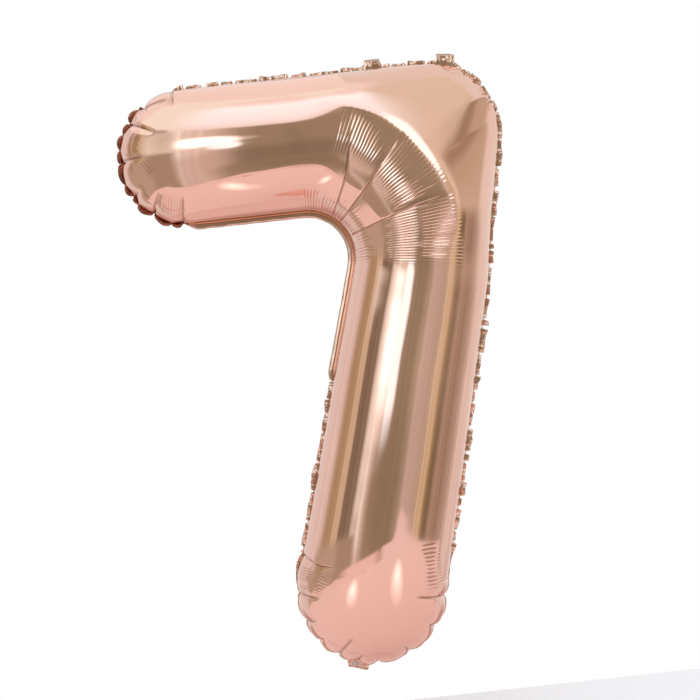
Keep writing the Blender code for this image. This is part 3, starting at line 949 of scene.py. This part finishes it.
def card(name, left, right, low, high, soft_low, dark, light):
    """An upright glowing card with soft edges, so that no corner of it shows in the foil."""
    mat, tree, _, _ = new_material(name)
    tree.nodes.clear()
    link = tree.links.new
    coord = node(tree, "ShaderNodeTexCoord").outputs["Generated"]
    shade = node(tree, "ShaderNodeEmission")
    link(mixed(tree, noise(tree, coord, 1.5, 1.0), dark, light), shade.inputs["Color"])
    place = node(tree, "ShaderNodeSeparateXYZ")
    link(coord, place.inputs[0])
    edges = (("X", 0.0, 0.30), ("X", 1.0, 0.70), ("Z", 0.0, soft_low), ("Z", 1.0, 0.75))
    fades = [between(tree, place.outputs[axis], start, end) for axis, start, end in edges]
    veil = node(tree, "ShaderNodeMixShader")
    link(reduce(partial(maths, tree, "MULTIPLY"), fades), veil.inputs[0])
    link(node(tree, "ShaderNodeBsdfTransparent").outputs[0], veil.inputs[1])
    link(shade.outputs[0], veil.inputs[2])
    link(veil.outputs[0], node(tree, "ShaderNodeOutputMaterial").inputs["Surface"])
    corners = [(*left, low), (*right, low), (*right, high), (*left, high)]
    piece = mesh_object(name, corners, [(0, 1, 2, 3)], mat, smooth=False)
    piece.visible_camera = piece.visible_diffuse = piece.visible_shadow = False


def overhead():
    """A soft light from above that the foil doesn't mirror."""
    lamp = bpy.data.lights.new("overhead", "AREA")
    lamp.energy, lamp.shape, lamp.size, lamp.size_y = 6.0, "RECTANGLE", 2.0, 1.4
    over = add_object("overhead", lamp)
    over.location = (0.0, -0.4, 2.2)
    over.visible_glossy = over.visible_camera = False


# the studio as the foil sees it: (azimuth in degrees from the camera, to the right, and colour)
ROOM = (
    (-180, (0.80, 0.78, 0.78)),
    (-112, (0.80, 0.78, 0.78)),
    (-105, (0.62, 0.55, 0.50)),
    (-98, (0.44, 0.38, 0.24)),
    (-87, (0.44, 0.38, 0.24)),
    (-83, (0.66, 0.62, 0.46)),
    (-74, (0.64, 0.60, 0.45)),
    (-70, (0.24, 0.20, 0.15)),
    (-53, (0.27, 0.24, 0.18)),
    (-48, (0.95, 1.02, 1.00)),
    (-38, (0.98, 1.08, 1.04)),
    (-34, (0.84, 0.84, 0.82)),
    (-27, (0.80, 0.78, 0.72)),
    (-20, (0.60, 0.57, 0.50)),
    (-10, (0.36, 0.33, 0.25)),
    (6, (0.33, 0.31, 0.22)),
    (14, (0.50, 0.48, 0.36)),
    (22, (0.70, 0.68, 0.62)),
    (38, (0.66, 0.62, 0.52)),
    (44, (0.56, 0.52, 0.36)),
    (48, (0.88, 0.82, 0.48)),
    (56, (0.78, 0.70, 0.38)),
    (60, (0.34, 0.29, 0.17)),
    (67, (0.20, 0.17, 0.11)),
    (74, (0.40, 0.34, 0.26)),
    (80, (0.42, 0.35, 0.28)),
    (90, (0.35, 0.28, 0.23)),
    (108, (0.54, 0.50, 0.43)),
    (122, (0.80, 0.76, 0.74)),
    (180, (0.82, 0.80, 0.80)),
)
# the wall to the right, by height: from 10 degrees below eye level to straight up
WALL = (
    (0.04, (0.66, 0.60, 0.50)),
    (0.16, (0.62, 0.57, 0.46)),
    (0.30, (0.56, 0.51, 0.40)),
    (0.335, (0.40, 0.33, 0.25)),
    (0.36, (0.39, 0.32, 0.24)),
    (0.395, (0.70, 0.68, 0.57)),
    (0.50, (0.80, 0.80, 0.68)),
    (1.00, (0.83, 0.82, 0.74)),
)
# the ceiling, from 33 degrees to straight up
CEILING = (
    (0.00, (1.00, 1.03, 1.06)),
    (0.18, (1.12, 1.30, 1.45)),
    (0.62, (1.18, 1.50, 1.70)),
    (0.80, (1.02, 1.02, 1.03)),
    (1.00, (1.00, 1.00, 1.00)),
)
# bright ovals, the window and two soft lamps: azimuth, elevation, half width, half height, how much
# of that is a soft edge, and colour
LAMPS = (
    (-27.0, 15.0, 20.0, 9.0, 0.55, (2.0, 2.2, 2.3)),
    (-18.5, 6.5, 9.5, 7.0, 0.55, (1.3, 1.7, 1.9)),
    (31.0, 27.0, 17.0, 20.0, 0.35, (1.5, 1.75, 1.9)),
)


def world():
    """A white surround for the camera; for the foil, a dim room with a bright ceiling and a window,
    laid out by azimuth (az) and elevation (el) in degrees."""
    studio = bpy.data.worlds.new("studio")
    SCENE.world = studio
    studio.use_nodes = True
    tree = studio.node_tree
    tree.nodes.clear()
    link = tree.links.new
    calc, soft, mix = (partial(f, tree) for f in (maths, between, mixed))
    times = partial(calc, "MULTIPLY")

    def ramp(value, stops):
        n = node(tree, "ShaderNodeValToRGB")
        e = n.color_ramp.elements
        while len(e) > 1:
            e.remove(e[-1])
        for i, (at, colour) in enumerate(stops):
            item = e[0] if i == 0 else e.new(at)
            item.position, item.color = at, (*colour, 1)
        link(value, n.inputs["Fac"])
        return n.outputs["Color"]

    parts = node(tree, "ShaderNodeSeparateXYZ")
    link(node(tree, "ShaderNodeTexCoord").outputs["Generated"], parts.inputs[0])
    x, y, z = parts.outputs
    az = times(calc("ARCTAN2", x, times(y, -1.0)), 180 / math.pi)
    el = times(calc("ARCSINE", z), 180 / math.pi)
    aside = calc("ABSOLUTE", az)
    turn = calc("DIVIDE", calc("ADD", az, 180.0), 360.0)
    room = ramp(turn, [((a + 180) / 360, c) for a, c in ROOM])
    # the many thin upright lines of a real room
    lines = node(tree, "ShaderNodeTexNoise", noise_dimensions="1D", in_Scale=0.32, in_Detail=2.5)
    link(az, lines.inputs["W"])
    lined = node(tree, "ShaderNodeVectorMath", operation="SCALE")
    link(room, lined.inputs[0])
    link(calc("ADD", times(lines.outputs["Fac"], 0.70), 0.65), lined.inputs["Scale"])
    # ahead it is dusky below eye level
    low = times(calc("SUBTRACT", 1.0, soft(aside, 50.0, 62.0)), soft(el, 5.0, -8.0))
    dusk = mix(soft(az, -12.0, -24.0), (0.22, 0.19, 0.14), (0.56, 0.48, 0.43))
    dusk = mix(soft(az, 14.0, 24.0), dusk, (0.47, 0.43, 0.40))
    room = mix(times(low, 0.55), lined.outputs[0], dusk)
    # to the left, what stands dark at eye level doesn't reach the floor
    under = mix(soft(az, -62.0, -74.0), (0.42, 0.37, 0.30), (0.52, 0.47, 0.39))
    left = times(soft(az, -36.0, -46.0), soft(az, -122.0, -106.0))
    room = mix(times(left, soft(el, 10.0, 5.0)), room, under)
    # to the right stands a light wall with a dim beam across it, and past it a white screen
    wall = ramp(calc("DIVIDE", calc("ADD", el, 10.0), 100.0), WALL)
    wall = mix(soft(az, 51.0, 59.0), (0.80, 0.78, 0.67), wall)
    wall = mix(soft(az, 98.0, 112.0), wall, (0.86, 0.85, 0.82))
    room = mix(times(soft(az, 42.0, 50.0), soft(el, -15.0, -2.0)), room, wall)
    # the ceiling is bright ahead and white behind, and the wall rises into it
    upper = ramp(calc("DIVIDE", calc("SUBTRACT", el, 33.0), 57.0), CEILING)
    upper = mix(soft(az, -25.0, -55.0), upper, (1.02, 1.15, 1.12))
    top = mix(calc("SUBTRACT", 1.0, soft(aside, 95.0, 110.0)), (1.0, 1.0, 1.0), upper)
    top = mix(times(soft(az, 22.0, 58.0), soft(el, 84.0, 72.0)), top, wall)
    colour = mix(soft(el, 32.0, 36.0), room, top)
    # the pink floor goes on behind the figure
    below = mix(soft(el, -30.0, -50.0), (0.54, 0.34, 0.31), (0.82, 0.64, 0.62))
    colour = mix(times(soft(aside, 128.0, 146.0), soft(el, -8.0, -22.0)), colour, below)
    for az0, el0, wide, high, edge, light in LAMPS:
        a = calc("DIVIDE", calc("SUBTRACT", az, az0), wide)
        e = calc("DIVIDE", calc("SUBTRACT", el, el0), high)
        far = calc("SQRT", calc("ADD", times(a, a), times(e, e)))
        colour = mix(soft(far, 1.0, 1.0 - edge), colour, light)
    shade = node(tree, "ShaderNodeBackground")
    link(colour, shade.inputs["Color"])
    white = node(tree, "ShaderNodeBackground", in_Color=(1, 1, 1, 1))
    both = node(tree, "ShaderNodeMixShader")
    link(node(tree, "ShaderNodeLightPath").outputs["Is Camera Ray"], both.inputs[0])
    link(shade.outputs[0], both.inputs[1])
    link(white.outputs[0], both.inputs[2])
    link(both.outputs[0], node(tree, "ShaderNodeOutputWorld").inputs[0])


def camera():
    """Nearly level and far enough off for little perspective, rolled as the photograph is."""
    away, view = 3.0, 1.008
    lens = bpy.data.cameras.new("camera")
    lens.sensor_width = 36.0
    lens.lens = lens.sensor_width * away / view
    lens.clip_start, lens.clip_end = 0.05, 60
    eye = add_object("camera", lens)
    eye.matrix_world = (
        Matrix.Translation((0.038, -away, 0.4558))
        @ Matrix.Rotation(math.radians(90), 4, "X")
        @ Matrix.Rotation(math.radians(-6.2), 4, "Z")
    )
    SCENE.camera = eye


floor()
for row in CARDS:
    card(*row)
overhead()
world()
camera()
SCENE.view_settings.view_transform = "Standard"

bpy.context.view_layer.update()
